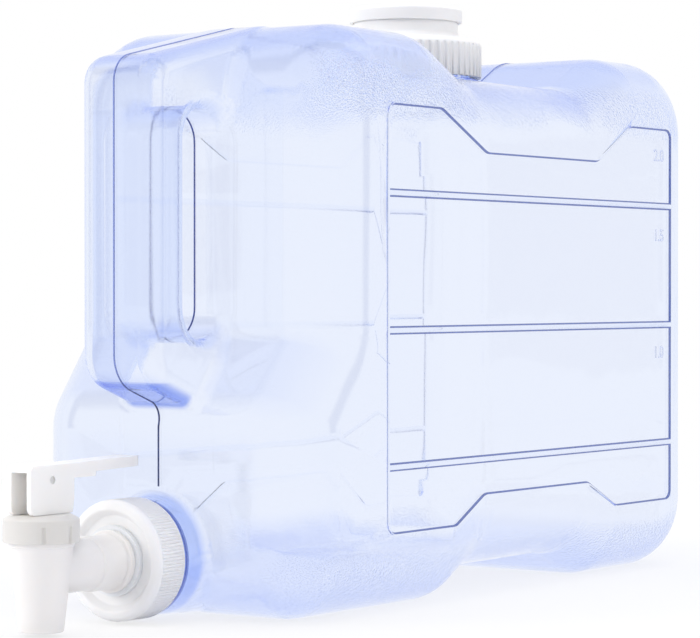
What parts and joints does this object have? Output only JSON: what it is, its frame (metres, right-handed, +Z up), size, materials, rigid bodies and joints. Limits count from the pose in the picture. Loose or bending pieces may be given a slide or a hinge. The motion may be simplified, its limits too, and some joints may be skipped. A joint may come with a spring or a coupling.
{
  "type": "carboy with spigot",
  "caption": "Slim blow-moulded carboy with a hollow grip, sunk side panels, a fluted screw cap with a pull-off lid, and a lever spigot in a screw cap.",
  "frame": {"origin": "on the floor under the middle of the whole object, spigot and bottle together", "axes": "+Z up, the spigot points to -Y, the long side panels face +X and -X"},
  "size_m": [0.146, 0.4268, 0.268],
  "materials": {
    "bottle_plastic": "clear pale blue blow-moulded plastic",
    "cap_plastic": "satin white moulded plastic",
    "spigot_plastic": "satin white moulded plastic",
    "seal": "soft white seal",
    "silicone": "milky silicone",
    "pin_steel": "ground"
  },
  "bodies": {
    "bottle": {"bottle": "bottle_plastic"},
    "fill_liner": {"fill_cap_liner": "seal"},
    "fill_cap": {"fill_cap": "cap_plastic"},
    "pour_lid": {"pour_lid": "cap_plastic"},
    "spigot_gasket": {"spigot_cap_gasket": "seal"},
    "spigot": {"spigot_cap": "cap_plastic", "flange_washer": "seal", "spigot_body": "spigot_plastic", "shank_washer": "seal", "shank_nut": "spigot_plastic", "bonnet": "spigot_plastic"},
    "valve": {"seat_cup": "silicone"},
    "stem": {"stem": "spigot_plastic", "lever_pin": "pin_steel"},
    "lever": {"lever": "spigot_plastic"}
  },
  "joints": [
    {"name": "fill_rise", "type": "slide", "parent": "bottle", "child": "fill_liner", "axis": [0, 0, 1], "range_m": [0, 0.0191]},
    {"name": "fill_turn", "type": "hinge", "parent": "fill_liner", "child": "fill_cap", "pos_m": [0, 0.0595, 0.245], "axis": [0, 0, 1], "range_deg": [0, 1620]},
    {"name": "lid_lift", "type": "slide", "parent": "fill_cap", "child": "pour_lid", "axis": [0, 0, 1], "range_m": [0, 0.012]},
    {"name": "spigot_advance", "type": "slide", "parent": "bottle", "child": "spigot_gasket", "axis": [0, -1, 0], "range_m": [0, 0.017]},
    {"name": "spigot_turn", "type": "hinge", "parent": "spigot_gasket", "child": "spigot", "pos_m": [0, -0.145, 0.0264], "axis": [0, -1, 0], "range_deg": [0, 1440]},
    {"name": "valve_lift", "type": "slide", "parent": "spigot", "child": "valve", "axis": [0, 0, 1], "range_m": [0, 0.0019], "deforming": ["seat_cup"]},
    {"name": "stem_swivel", "type": "hinge", "parent": "valve", "child": "stem", "pos_m": [0, -0.1982, 0.04], "axis": [0, 0, 1], "continuous": true},
    {"name": "lever_tilt", "type": "hinge", "parent": "stem", "child": "lever", "pos_m": [0, -0.1982, 0.062], "axis": [-1, 0, 0], "range_deg": [0, 12], "stiffness_Nm_per_rad": 0.3, "springref_deg": -17.19}
  ],
  "couplings": [
    {"joint": "fill_rise", "follows": "fill_turn", "m_per_rad": 0.00067375},
    {"joint": "spigot_advance", "follows": "spigot_turn", "m_per_rad": 0.00067375},
    {"joint": "valve_lift", "follows": "lever_tilt", "m_per_rad": 0.009}
  ]
}
